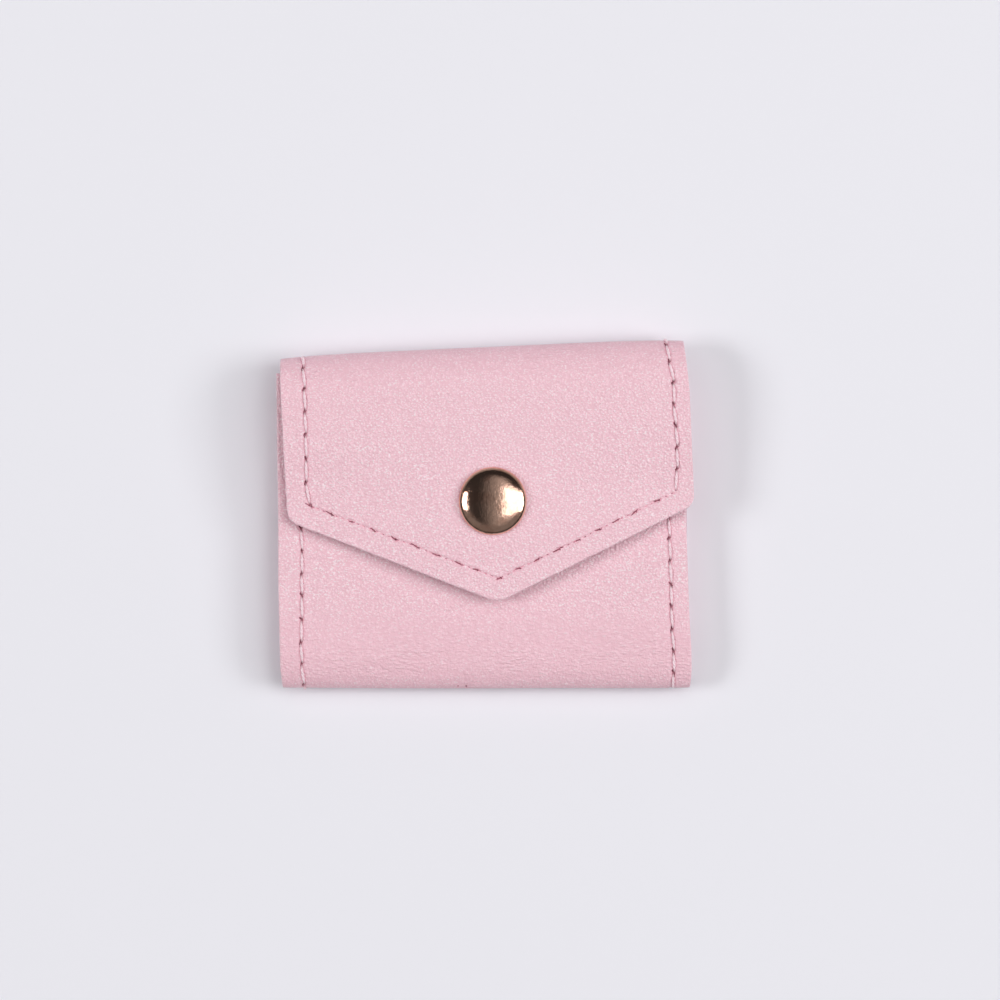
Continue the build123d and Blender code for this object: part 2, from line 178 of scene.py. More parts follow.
@dataclass(frozen=True)
class Strip:
    """The strip of leather and lining and its course round the pouch, in millimetres.

    A place on it is given by its distance across, from the middle, and along, from the pocket's
    mouth: down the front, round the bottom fold, up the back, over the top fold and down the flap.
    """

    width: float = 75.0
    leather: float = 0.9
    lining: float = 0.5
    half_height: float = 31.3
    mouth: float = 26.9
    front_level: float = 7.6
    bottom_depth: float = 8.5
    back_length: float = 46.1
    top_depth: float = 8.0
    flap_level: float = 11.7
    skew: float = 2.6
    shift: float = -0.3
    flap_left: float = 22.05
    flap_right: float = 22.45
    flap_tip: float = 38.8
    tip_shift: float = 0.5
    corner_radius: float = 2.9
    tip_radius: float = 4.5
    edge_radius: float = 0.24
    droop: float = 0.55
    left_droop: float = 1.35
    right_droop: float = 1.35
    snap_line: float = 20.06
    snap_shift: float = 0.36
    stud_hole: tuple = (2.0, 23.6)
    cap_hole_x: float = 0.7
    hole_radius: float = 2.4
    nicks: tuple = ((-26.85, 135.7, 0.2, 0.5, 0.13, 0.45), (-5.2, 58.5, 0.0, 0.5, 0.2, 0.7),
                    (-3.7, 58.5, 0.0, 0.5, 0.24, 0.8))
    top_bulge: float = 0.5
    bottom_bulge: float = 0.2
    crease_height: float = 0.035
    crease_width: float = 6.0
    uneven_height: float = 0.035
    left_lean: tuple = ((0, 14, 26, 38, 45, 51, 55, 57.5, 59, 62, 70, 112, 126, 137, 150, 160),
                        (-1.2, -1.03, -0.86, -0.84, -0.69, -0.56, -0.48, -0.24, -0.16, -0.1, 0.0, 0.0, -0.2,
                         -0.28, -0.2, -0.08))
    right_lean: tuple = ((0, 26, 45, 51, 55, 57.5, 59, 64, 70, 82, 95, 110, 120, 126, 131, 139),
                         (-0.8, -0.45, 0.22, 0.57, 0.65, 0.53, 0.44, 0.2, 0.1, -0.35, -0.6, -0.5, -0.35,
                          -0.6, -0.45, 0.0))

    @property
    def panel(self) -> float:
        """Thickness of leather and lining together."""
        return self.leather + self.lining

    def _course(self, ends: tuple[float, float], middle: float, depth: float, level: float,
                first: float) -> dict[str, Array]:
        """A straight, a half-round bend and the next straight, in Y and Z.

        Args:
            ends: Y where the first straight starts and where the second ends.
            middle: Y of the bend's middle.
            depth: how far the bend reaches out.
            level: the height of the straight that isn't on the table.
            first: the angle at which the bend starts, in degrees.

        Returns:
            Length along the course, places and outward unit normals.
        """
        turn = np.radians(np.linspace(first, first + 180.0, BEND_STEPS))
        turn = np.concatenate([turn[:1], turn, turn[-1:]])
        y, z = middle + depth * np.cos(turn), level / 2 + level / 2 * np.sin(turn)
        y[0], y[-1] = ends
        normal_y, normal_z = np.cos(turn) / depth, np.sin(turn) / (level / 2)
        size = np.hypot(normal_y, normal_z)
        length = np.concatenate([[0.0], np.cumsum(np.hypot(np.diff(y), np.diff(z)))])
        return {"s": length, "y": y, "z": z, "ny": normal_y / size, "nz": normal_z / size}

    @cached_property
    def _body_run(self) -> dict[str, Array]:
        """The front, the bottom fold and the back."""
        middle = self.bottom_depth - self.half_height
        return self._course((self.mouth, middle + 100.0), middle, self.bottom_depth, self.front_level, 90.0)

    @cached_property
    def _top_run(self) -> dict[str, Array]:
        """The back, the top fold and the flap, in the skewed frame."""
        run = self._course((-self.back_length, -60.0), 0.0, self.top_depth, self.flap_level, -90.0)
        return run | {"s": run["s"] + self.back_start}

    @property
    def bottom_start(self) -> float:
        """Where the bottom fold begins, along the strip."""
        return self.mouth + self.half_height - self.bottom_depth

    @cached_property
    def back_start(self) -> float:
        """Where the bottom fold ends and the back begins."""
        return float(self._body_run["s"][-2])

    @property
    def top_start(self) -> float:
        """Where the top fold begins."""
        return self.back_start + self.back_length

    @cached_property
    def flap_start(self) -> float:
        """Where the top fold ends and the flap begins."""
        return float(self._top_run["s"][-2])

    def pierced(self, x: Array, s: Array) -> Array:
        """Whether places lie in a rivet's hole, where the stud or the cap's post goes through.

        Args:
            x: places across the strip.
            s: places along the strip.

        Returns:
            True at each place in a hole.
        """
        found = np.zeros(x.shape, bool)
        for hole_x, hole_s in (self.stud_hole, (self.cap_hole_x, self.flap_start + self.snap_line)):
            found |= np.hypot(x - hole_x, s - hole_s) < self.hole_radius
        return found

    def on_top_fold(self, angle: float) -> float:
        """Length along the strip of a parameter angle of the top fold, from -90 to 90 degrees."""
        run = self._top_run["s"]
        return float(np.interp(angle, np.linspace(-90.0, 90.0, BEND_STEPS), run[1:-1]))

    def skewed(self, x: Array, y: Array) -> tuple[Array, Array]:
        """Turns a place of the skewed frame of the top fold into the shared frame.

        Args:
            x: places across the skewed frame.
            y: places up it.

        Returns:
            X and Y of the places in the shared frame.
        """
        turn = radians(self.skew)
        reach = y - self.top_depth
        return (self.shift + x * cos(turn) - reach * sin(turn),
                self.half_height + x * sin(turn) + reach * cos(turn))

    @staticmethod
    def _rounded(before: Array, corner: Array, after: Array, radius: float) -> Array:
        """Points of the arc that rounds a corner.

        Args:
            before: the outline's point before the corner.
            corner: the sharp corner.
            after: the outline's point after it.
            radius: the arc's radius.

        Returns:
            The arc's points, from the side of the first point to the other.
        """
        first = (before - corner) / np.linalg.norm(before - corner)
        second = (after - corner) / np.linalg.norm(after - corner)
        half = np.arccos(np.clip(first @ second, -1.0, 1.0)) / 2
        bisector = (first + second) / np.linalg.norm(first + second)
        centre = corner + bisector * radius / sin(half)
        start = corner + first * radius / tan(half) - centre
        end = corner + second * radius / tan(half) - centre
        sweep = np.arctan2(start[0] * end[1] - start[1] * end[0], start @ end)
        turn = np.linspace(0.0, sweep, 15)
        return centre + np.stack([start[0] * np.cos(turn) - start[1] * np.sin(turn),
                                  start[0] * np.sin(turn) + start[1] * np.cos(turn)], -1)

    @cached_property
    def flap_edge(self) -> Array:
        """The flap's cut edge.

        Returns:
            Its points across and along the strip, from its left side to its right.
        """
        half, start = self.width / 2, self.flap_start
        corners = [np.array(point) for point in (
            (-half, start), (-half, start + self.flap_left), (self.tip_shift, start + self.flap_tip),
            (half, start + self.flap_right), (half, start))]
        radii = (self.corner_radius, self.tip_radius, self.corner_radius)
        arcs = [self._rounded(*corners[i:i + 3], radii[i]) for i in range(3)]
        return np.concatenate([corners[:1], *arcs, corners[-1:]])

    def outline(self, x: Array) -> Array:
        """Reach of the flap's lower edge along the strip at places across it."""
        edge = self.flap_edge[1:-1]
        return np.interp(x, edge[:, 0], edge[:, 1])

    def from_edge(self, x: Array, s: Array) -> Array:
        """Distance of places on the strip from its nearest cut edge.

        Args:
            x: places across the strip.
            s: places along the strip.

        Returns:
            The distances.
        """
        found = np.minimum(self.width / 2 - np.abs(x), s)
        near = s > self.flap_start + 8.0
        place = np.stack([x[near], s[near]], -1)
        shortest = np.full(len(place), 50.0)
        for first, second in zip(self.flap_edge, self.flap_edge[1:]):
            run = second - first
            share = np.clip((place - first) @ run / (run @ run), 0.0, 1.0)
            shortest = np.minimum(shortest, np.linalg.norm(place - first - share[:, None] * run, axis=1))
        found[near] = shortest
        return np.maximum(found, 0.0)

    def sag(self, x: Array, s: Array) -> Array:
        """How far the flap's free edge sinks below the level of the snap.

        Args:
            x: places across the strip.
            s: places along the strip.

        Returns:
            The depth at each place.
        """
        reach = s - self.flap_start
        beyond = smooth((reach - self.snap_line - 3.0) / 20.0)
        most = np.where(x > 0.0, self.right_droop, self.left_droop)
        return self.droop * beyond + most * smooth((np.abs(x) - 4.0) / 30.0) * smooth((reach - 5.0) / 15.0)

    def wrinkles(self, x: Array, s: Array) -> Array:
        """Fine creases that run across the strip at its folds, and a slight unevenness on the front and most
        of the bottom fold.

        Args:
            x: places across the strip.
            s: places along the strip.

        Returns:
            The height at each place.
        """
        fold = 1.3 * bell(s - self.bottom_start - 4.0, self.crease_width)
        fold = fold + 0.5 * bell(s - self.on_top_fold(40.0), self.crease_width)
        waves = value_noise(x / 6.0 + value_noise(x / 9.0, s / 5.0, 11), s / 1.1 + x / 25.0, 12)
        uneven = value_noise(x / 14.0, s / 12.0, 13) * smooth(self.from_edge(x, s) / 6.0)
        creases = self.crease_height * fold * waves
        return creases + self.uneven_height * uneven * (s < self.back_start - 8.0)

    def at(self, x: Array, s: Array) -> tuple[Array, Array]:
        """Points on the strip's outer face.

        Args:
            x: places across the strip.
            s: places along the strip.

        Returns:
            The points, and the unit normals that point out of the pouch.
        """
        x, s = np.broadcast_arrays(np.asarray(x, float), np.asarray(s, float))
        part = x / self.width
        left, right = np.interp(s, *self.left_lean), np.interp(s, *self.right_lean)
        leaned = x + left * (0.5 - part) + right * (0.5 + part)
        body, top = self._body_run, self._top_run
        y, z, ny, nz = (np.interp(s, body["s"], body[key]) for key in ("y", "z", "ny", "nz"))
        low = np.stack([leaned, y, z], -1)
        low_normal = np.stack([np.zeros_like(x), ny, nz], -1)
        y, z, ny, nz = (np.interp(s, top["s"], top[key]) for key in ("y", "z", "ny", "nz"))
        place_x, place_y = self.skewed(leaned, y)
        high = np.stack([place_x, place_y, z - self.sag(x, s)], -1)
        turn = radians(self.skew)
        high_normal = np.stack([-ny * sin(turn), ny * cos(turn), nz], -1)
        bulge = self.top_bulge * bell(s - self.on_top_fold(0.0), 6.5) * (1.0 - (2 * part) ** 6)
        high = high + high_normal * bulge[..., None]
        bulge = self.bottom_bulge * bell(s - self.bottom_start - 6.5, 6.0) * (1.0 - (2 * part) ** 8)
        low = low + low_normal * bulge[..., None]
        share = np.clip((s - self.back_start - 6.0) / (self.back_length - 8.0), 0.0, 1.0)[..., None]
        point, normal = low * (1 - share) + high * share, low_normal * (1 - share) + high_normal * share
        return point, normal / np.linalg.norm(normal, axis=-1, keepdims=True)


@dataclass(frozen=True)
class Stitch:
    """One stitch between two needle holes, as places across and along the strip."""

    x0: float
    s0: float
    x1: float
    s1: float
    lie: Lie


@dataclass(frozen=True)
class Seam:
    """The lockstitch round the strip: where its needle holes are and how the thread lies."""

    strip: Strip
    left: float = -33.6
    right: float = 34.3
    corner_left: tuple = (-33.35, 19.28)
    tip: tuple = (0.81, 34.4)
    corner_right: tuple = (34.0, 19.91)
    front_left: tuple = (3.0, 71.0, 16)
    front_right: tuple = (1.2, 72.5, 17)
    over_left: int = 20
    over_right: int = 21
    point_stitches: int = 9
    point_reach: float = 4.2
    slant: float = 0.12
    flush_reach: float = 4.6
    press_reach: float = 5.5
    groove_width: float = 0.46
    proud_depth: float = 0.14
    flush_depth: float = 0.5
    sunk_depth: float = 0.2
    hole_depth: float = 0.24
    pull_height: float = 0.05
    pucker_height: float = 0.04
    nick_depth: float = 0.08
    tick_reach: float = 0.6
    tick_width: float = 0.19
    side_seeds: tuple = (22, 23)
    tip_seed: int = 24
    press_seed: int = 21
    left_wander: tuple = ((0, 33, 41.5, 50, 56, 70, 112, 128, 135, 140, 148, 153, 157),
                          (0.45, 0.45, 0.35, 0.0, 0.2, 0.2, 0.0, 0.3, 0.52, 0.5, 0.25, 0.0, 0.2))
    right_wander: tuple = ((0, 112, 127, 137.6, 142, 146, 149, 153, 157.6),
                           (0.0, 0.0, -0.2, 0.37, 0.22, 0.35, 0.53, 0.35, -0.3))

    @property
    def corners(self) -> list[tuple[float, float]]:
        """Turning points of the seam on the flap: left, tip and right, across and along."""
        start = self.strip.flap_start
        return [(x, start + reach) for x, reach in (self.corner_left, self.tip, self.corner_right)]

    def _side(self, x: float, front: tuple, corner: float, over: int, wander: tuple,
              seed: int) -> list[Stitch]:
        """Stitches of one long side, from the mouth to the flap's corner.

        Args:
            x: the side's place across the strip.
            front: first and last hole on the front and bottom, and how many stitches join them.
            corner: the last hole, on the flap.
            over: how many stitches go up the back and over the top fold.
            wander: how far the seam strays across, by place along the strip.
            seed: picks the small faults of the stitching.

        Returns:
            The stitches in their order.
        """
        first, last, count = front
        noise = np.random.default_rng(seed)
        holes = np.concatenate([np.linspace(first, last, count + 1), np.linspace(last, corner, over + 1)[1:]])
        holes[1:-1] += noise.uniform(-0.22, 0.22, len(holes) - 2)
        across = x + np.interp(holes, *wander) + noise.uniform(-0.09, 0.09, len(holes))
        made = []
        for i in range(len(holes) - 1):
            low, high = self.strip.back_start - self.flush_reach, self.strip.top_start + self.flush_reach
            lie = Lie.FLUSH if low < (holes[i] + holes[i + 1]) / 2 < high else Lie.PROUD
            start, end = across[i] - self.slant, across[i + 1] + self.slant
            made.append(Stitch(start, holes[i], end, holes[i + 1], lie))
        return made

    @cached_property
    def stitches(self) -> list[Stitch]:
        """Every stitch of the seam.

        Returns:
            The left side's stitches, the right side's, and those of the flap's point.
        """
        left, tip, right = self.corners
        first, second = self.side_seeds
        made = self._side(self.left, self.front_left, left[1], self.over_left, self.left_wander, first)
        made += self._side(self.right, self.front_right, right[1], self.over_right, self.right_wander, second)
        noise = np.random.default_rng(self.tip_seed)
        for start, end in ((left, tip), (tip, right)):
            steps = np.linspace(0.0, 1.0, self.point_stitches + 1)
            steps[1:-1] += noise.uniform(-0.012, 0.012, self.point_stitches - 1)
            x = start[0] + (end[0] - start[0]) * steps
            s = start[1] + (end[1] - start[1]) * steps + noise.uniform(-0.1, 0.1, len(steps))
            made += [Stitch(x[i], s[i], x[i + 1], s[i + 1], Lie.SUNK) for i in range(self.point_stitches)]
        return made

    @staticmethod
    def _cut(along: Array, beside: Array, turn: float, reach: float, half_width: float) -> Array:
        """A short dark cut round a place, blunt at its ends.

        Args:
            along: how far each point lies from the place along the seam.
            beside: how far it lies beside the seam.
            turn: the cut's direction against the seam, in radians.
            reach: half the cut's length.
            half_width: half its width.

        Returns:
            How dark each point is.
        """
        run = along * cos(turn) + beside * sin(turn)
        off = beside * cos(turn) - along * sin(turn)
        return np.exp(-(run / reach) ** 4 - (off / half_width) ** 2)

    def press(self, x: Array, s: Array) -> tuple[Array, Array]:
        """How the seam presses into the leather.

        Args:
            x: places across the strip.
            s: places along the strip.

        Returns:
            The depth of the groove and needle holes, and how dark the paint is there: painted shade in the
            needle holes, beside the thread and in the sunk groove, and the nicks' dark marks.
        """
        depth, dark = np.zeros_like(x), np.zeros_like(x)
        noise = np.random.default_rng(self.press_seed)
        for stitch in self.stitches:
            tilt, size = noise.uniform(-0.9, 0.9), noise.uniform(0.75, 1.25)
            pucker, sway = noise.uniform(0.0, 6.3), noise.uniform(-0.07, 0.07)
            near = (np.abs(x - stitch.x0) < self.press_reach) & (np.abs(s - stitch.s0) < self.press_reach)
            if not near.any():
                continue
            at_x, at_s = x[near], s[near]
            run = np.array([stitch.x1 - stitch.x0, stitch.s1 - stitch.s0])
            length = float(np.hypot(*run))
            run = run / length
            along = (at_x - stitch.x0) * run[0] + (at_s - stitch.s0) * run[1]
            beside = (at_s - stitch.s0) * run[0] - (at_x - stitch.x0) * run[1]
            within = smooth((along + 0.4) / 0.5) * smooth((length + 0.4 - along) / 0.5)
            away = np.hypot(along, beside)
            if stitch.lie is Lie.SUNK:
                wave = beside - sway * np.sin(along * 2.4 + pucker)
                raised = self.pull_height * bell(np.abs(wave) - 0.6, 0.25)
                groove = within * (self.sunk_depth * bell(wave, 0.2) - raised)
                # painted shade: a broken dark line in the sunk groove and dark dashes at the needle holes,
                # where the thread dives in
                groove_shade = 0.8 * bell(wave, 0.13) * within * (0.5 + 0.5 * np.sin(5.2 * along + 2.0 * pucker))
                long_cut = self._cut(along - 0.1, beside, 0.4 * tilt, 0.95 * size, 0.14)
                short_turn = 0.4 * tilt + np.sign(tilt)
                short_cut = self._cut(along - 0.5, beside - 0.1 * tilt, short_turn, 0.45 * size, 0.12)
                hole = bell(away, 0.4)
                shade = np.maximum(groove_shade, np.maximum(long_cut, 0.85 * short_cut))
            else:
                sink = self.proud_depth if stitch.lie is Lie.PROUD else self.flush_depth
                groove = sink * within * bell(beside, self.groove_width)
                turned_along = along * cos(tilt) + beside * sin(tilt)
                turned_beside = beside * cos(tilt) - along * sin(tilt)
                hole = np.exp(-((turned_along / 0.6) ** 2 + (turned_beside / 0.34) ** 2) / size)
                swell_share = np.sin(np.pi * np.clip(along / length, 0.0, 1.0))
                # painted shade: dark lines along both sides of the thread, and dark ticks as shade in the
                # needle holes
                thread_side_shade = 0.55 * within * bell(np.abs(beside) - 0.14 - 0.21 * swell_share, 0.12)
                first_tick = self._cut(along + 0.12, beside, tilt, self.tick_reach * size, self.tick_width)
                off = beside - 0.16 * np.sign(tilt)
                second_tick = self._cut(along - 0.5, off, -0.5 * tilt, 0.5 * size, 0.12)
                shade = np.maximum(np.maximum(1.25 * first_tick, second_tick), thread_side_shade)
            rays = np.sin(5.0 * np.arctan2(beside, along) + pucker)
            ripple = self.pucker_height * rays * bell(away - 0.8, 0.42)
            swell = self.pull_height * bell(away - 0.9, 0.3)
            depth[near] = np.maximum(depth[near], groove)
            depth[near] += self.hole_depth * hole - swell + ripple
            dark[near] = np.maximum(dark[near], shade)
        for nick_x, nick_s, turn, reach, half_width, shade in self.strip.nicks:
            cut = self._cut(s - nick_s, x - nick_x, turn, reach, half_width)
            depth += self.nick_depth * cut
            dark = np.maximum(dark, shade * cut)
        return depth, dark


@dataclass(frozen=True)
class Stretch:
    """A stretch of the strip that rides on one CAD body, or lies over the bend between two."""

    name: str
    start: float
    end: float
    bodies: tuple[str, ...]
    bend: tuple[float, ...] = ()

    @property
    def nodes(self) -> tuple[str, ...]:
        """The ends of the names of the CAD nodes that it stands for."""
        return self.bodies

    def settle(self, piece: Piece, strip: Strip, prefix: str) -> None:
        """Ties a piece of a straight stretch to its CAD body, fixes a piece over a bend where it lies, and
        hides the CAD nodes that it stands for.

        Args:
            piece: the finished piece.
            strip: the strip that it belongs to.
            prefix: which layer's CAD nodes it stands for.
        """
        if not self.bend:
            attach(piece, self.bodies[0])
        else:
            ends = [strip.at(0.0, s)[0] * MM for s in self.bend]
            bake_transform(piece)
        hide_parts(*[f"{prefix}_{node}" for node in self.nodes])


def stretches(strip: Strip) -> list[Stretch]:
    """The strip's stretches in their order from the mouth to the flap's tip.

    Args:
        strip: the strip that is divided.

    Returns:
        One stretch for the front, and one for each CAD joint that the strip bends over.
    """
    bottom, wide, narrow = strip.back_start, 2.2, 1.8
    bodies = ("front", "back", "fold_lower", "fold_middle", "fold_upper", "flap")
    starts = (bottom - 5.0, bottom + 5.0, *(strip.on_top_fold(angle) for angle in (-63.0, 0.0, 63.0)), np.inf)
    bends = ((bottom, wide), (strip.top_start, wide), (strip.on_top_fold(-36.9), narrow),
             (strip.on_top_fold(36.9), narrow), (strip.flap_start, wide))
    made = [Stretch("front", 0.0, starts[0], bodies[:1])]
    names = ("bottom", "back", "fold_low", "fold_high", "flap")
    for i, (name, (joint, reach)) in enumerate(zip(names, bends)):
        made.append(Stretch(name, starts[i], starts[i + 1], bodies[i:i + 2], (joint - reach, joint + reach)))
    return made


class Painter:
    """A material or a sky, with short ways to add nodes to it."""

    def __init__(self, owner: Material | bpy.types.World, shader: str = "Principled BSDF",
                 place: str = "Object") -> None:
        """Starts the nodes of a material or a sky.

        Args:
            owner: the material or the world that is painted.
            shader: the name of the shader node that it has from the start.
            place: the coordinates by which its textures are read.
        """
        owner.use_nodes = True
        self.owner = owner
        self.tree = owner.node_tree
        self.surface = self.tree.nodes[shader]
        self.place = self.node("ShaderNodeTexCoord", {}, place)

    def feed(self, node: bpy.types.Node, inputs: dict) -> None:
        """Gives a node's inputs other sockets, numbers or colours.

        Args:
            node: the node that is fed.
            inputs: an output socket, a number or a tuple for each input, by the input's name or number.
        """
        for key, value in inputs.items():
            socket = node.inputs[key]
            if isinstance(value, Socket):
                self.tree.links.new(value, socket)
            else:
                socket.default_value = (*value, 1.0) if socket.type == "RGBA" else value

    def node(self, kind: str, inputs: dict, output: str | int = 0, **settings: object) -> Socket:
        """Adds a node and feeds its inputs.

        Args:
            kind: the node's kind.
            inputs: what its inputs get, as in feed.
            output: which of its outputs is wanted.
            **settings: its settings, by name.

        Returns:
            The output.
        """
        node = self.tree.nodes.new(kind)
        for key, value in settings.items():
            setattr(node, key, value)
        self.feed(node, inputs)
        return node.outputs[output]

    def noise(self, place: Socket, scale: float, detail: float, output: str = "Fac") -> Socket:
        """Adds a noise texture.

        Args:
            place: where it is read.
            scale: waves per metre.
            detail: octaves of finer noise.
            output: which of its outputs is wanted.

        Returns:
            The output.
        """
        return self.node("ShaderNodeTexNoise", {"Vector": place, "Scale": scale, "Detail": detail}, output)

    def mapped(self, place: Socket, **inputs: tuple) -> Socket:
        """Turns or stretches the places where a texture is read."""
        return self.node("ShaderNodeMapping", {"Vector": place, **inputs})

    def math(self, operation: str, *values: object) -> Socket:
        """Adds a sum of numbers, with its inputs in their order."""
        return self.node("ShaderNodeMath", dict(enumerate(values)), operation=operation)

    def mix(self, kind: str, share: object, first: object, second: object) -> Socket:
        """Mixes two numbers or colours by a share.

        Args:
            kind: FLOAT or RGBA.
            share: how much of the second shows.
            first: the value at share 0.
            second: the value at share 1.

        Returns:
            The mixed output.
        """
        first_input, output = {"FLOAT": (2, 0), "RGBA": (6, 2)}[kind]
        inputs = {0: share, first_input: first, first_input + 1: second}
        return self.node("ShaderNodeMix", inputs, output, data_type=kind)

    def ramp(self, value: Socket, low: float, high: float, target: tuple = (0.0, 1.0)) -> Socket:
        """Stretches a range of values to another, eased and held at both ends.

        Args:
            value: what is stretched.
            low: the value that becomes the target's first.
            high: the value that becomes the target's second.
            target: the range that comes out.

        Returns:
            The stretched output.
        """
        inputs = {"Value": value, "From Min": low, "From Max": high, "To Min": target[0], "To Max": target[1]}
        return self.node("ShaderNodeMapRange", inputs, "Result", interpolation_type="SMOOTHSTEP")

    def mark(self, name: str) -> Socket:
        """Reads a value that the mesh carries at its vertices."""
        return self.node("ShaderNodeAttribute", {}, "Fac", attribute_name=name)

    def bump(self, height: Socket, depth: float, strength: float) -> None:
        """Gives the surface a relief.

        Args:
            height: the relief's height, about 0 to 1.
            depth: depth of that range in millimetres.
            strength: share of the relief that shows.
        """
        inputs = {"Height": height, "Distance": depth * MM, "Strength": strength}
        self.feed(self.surface, {"Normal": self.node("ShaderNodeBump", inputs, "Normal")})


@dataclass(frozen=True)
class LeatherFinish:
    """Satin pebble-grained leather, with painted glints on its pebbles, painted shade in its grain's hollows,
    in its needle holes and beside its stitches, and a paler cut edge.
    """

    name: str = "pebbled_leather"
    colour: tuple = (0.99, 0.65, 0.735)
    # painted shade: the darker colour of the hollows between the pebbles
    hollow_shade: tuple = (0.88, 0.52, 0.605)
    # painted highlight: the near-white colour of the glints painted on pebble tops
    glint_paint: tuple = (1.0, 0.88, 0.91)
    # painted shade: the dark colour of the needle holes and of the grooves beside the stitches, with a
    # reddish fringe round it
    hole_shade_fringe: tuple = (0.86, 0.31, 0.42)
    hole: tuple = (0.17, 0.018, 0.045)
    edge: tuple = (0.88, 0.64, 0.71)
    grain_size: float = 0.47
    grain_depth: float = 0.2
    wander: float = 0.4
    fine_waves: float = 4200.0
    tip_waves: float = 3600.0
    glint_paint_share: float = 0.73
    drawn_share: float = 0.42
    roughness: float = 0.38
    shine: float = 0.85

    def _pebbles(self, work: Painter, place: Socket) -> Socket:
        """Rounded pebbles with narrow valleys between them.

        Args:
            work: the material that is painted.
            place: where the pebbles are read.

        Returns:
            Their height, from 0 to about 1.
        """
        inputs = {"Vector": place, "Scale": 1.0 / (self.grain_size * MM), "Smoothness": 0.35}
        cells = work.node("ShaderNodeTexVoronoi", inputs, "Distance", feature="SMOOTH_F1")
        return work.math("MULTIPLY_ADD", cells, -1.0, 1.0)

    def build(self) -> Material:
        """Makes the material.

        Returns:
            The finished material.
        """
        work = Painter(bpy.data.materials.new(self.name))
        place, crease, needle = work.place, work.mark("crease"), work.mark("needle")
        stray = {0: work.noise(place, 900.0, 2.0, "Color"), "Scale": self.wander * MM}
        stray = work.node("ShaderNodeVectorMath", stray, operation="SCALE")
        shifted = work.node("ShaderNodeVectorMath", {0: place, 1: stray}, operation="ADD")
        drawn = work.mapped(shifted, Scale=(self.drawn_share, 1.15, 1.15))
        pebbled = work.mix("FLOAT", crease, self._pebbles(work, shifted), self._pebbles(work, drawn))
        grain = work.math("MULTIPLY_ADD", work.noise(place, self.fine_waves, 2.0), 0.6, pebbled)
        # painted shade: the colour darkens towards the pebbles' hollows, following the relief's height
        varied = work.mix("RGBA", work.ramp(grain, 0.75, 1.15), self.hollow_shade, self.colour)
        # painted highlights: pale glints on scattered pebble tops, fewer where the grain is drawn out at the
        # creases
        glint_spots = work.noise(work.mapped(place, Scale=(0.8, 1.25, 1.0)), self.tip_waves, 0.0)
        drawn_glint_spots = work.noise(drawn, self.tip_waves, 1.0)
        lit = work.ramp(work.mix("FLOAT", crease, glint_spots, drawn_glint_spots), 0.54, 0.76)
        share = work.math("MULTIPLY", lit, work.math("MULTIPLY_ADD", crease, -0.3, self.glint_paint_share))
        tone = work.mix("RGBA", share, varied, self.glint_paint)
        cloudy = work.mix("RGBA", work.math("MULTIPLY", work.noise(place, 60.0, 2.0), 0.10), tone, self.edge)
        edged = work.mix("RGBA", work.math("MULTIPLY", work.mark("edge"), 0.6), cloudy, self.edge)
        # painted shade in the needle holes, along the stitches' sides and in the sunk groove, darkest in the
        # middle with a reddish fringe; the holes' shallow dimples are in the mesh
        fringe_shaded = work.mix("RGBA", work.ramp(needle, 0.06, 0.85), edged, self.hole_shade_fringe)
        hole_shade_noise = work.math("MULTIPLY_ADD", work.noise(place, 3300.0, 2.0), 1.5, 0.06)
        hole_shade_mask = work.ramp(work.math("MULTIPLY", needle, hole_shade_noise), 0.38, 0.62)
        gloss = work.ramp(grain, 0.75, 1.3)
        work.feed(work.surface, {
            "Base Color": work.mix("RGBA", hole_shade_mask, fringe_shaded, self.hole), "Specular IOR Level": self.shine,
            "Roughness": work.math("MULTIPLY_ADD", gloss, -0.1, self.roughness + 0.05)})
        deepened = work.math("MULTIPLY_ADD", crease, 0.35, 1.0)
        work.bump(work.math("MULTIPLY", grain, deepened), self.grain_depth, 1.0)
        return work.owner


@dataclass(frozen=True)
class LiningFinish:
    """Short-napped backing cloth that is bonded to the leather, with painted shade at the needle holes."""

    name: str = "napped_lining"
    colour: tuple = (0.74, 0.47, 0.54)
    shade: tuple = (0.66, 0.39, 0.47)
    # painted shade: the dark colour of the needle holes and stitch grooves
    hole: tuple = (0.2, 0.06, 0.09)
    roughness: float = 0.85

    def build(self) -> Material:
        """Makes the material.

        Returns:
            The finished material.
        """
        work = Painter(bpy.data.materials.new(self.name))
        nap = work.noise(work.place, 5200.0, 3.0)
        patches = work.math("MULTIPLY", work.noise(work.place, 240.0, 3.0), 0.5)
        share = work.ramp(work.math("MULTIPLY_ADD", nap, 0.5, patches), 0.35, 0.65)
        tone = work.mix("RGBA", share, self.shade, self.colour)
        # painted shade where the needle mark is
        pierced = work.mix("RGBA", work.math("MULTIPLY", work.mark("needle"), 0.7), tone, self.hole)
        work.feed(work.surface, {"Base Color": pierced, "Roughness": self.roughness,
                                 "Sheen Weight": 0.3, "Sheen Roughness": 0.5})
        work.bump(nap, 0.05, 0.7)
        return work.owner


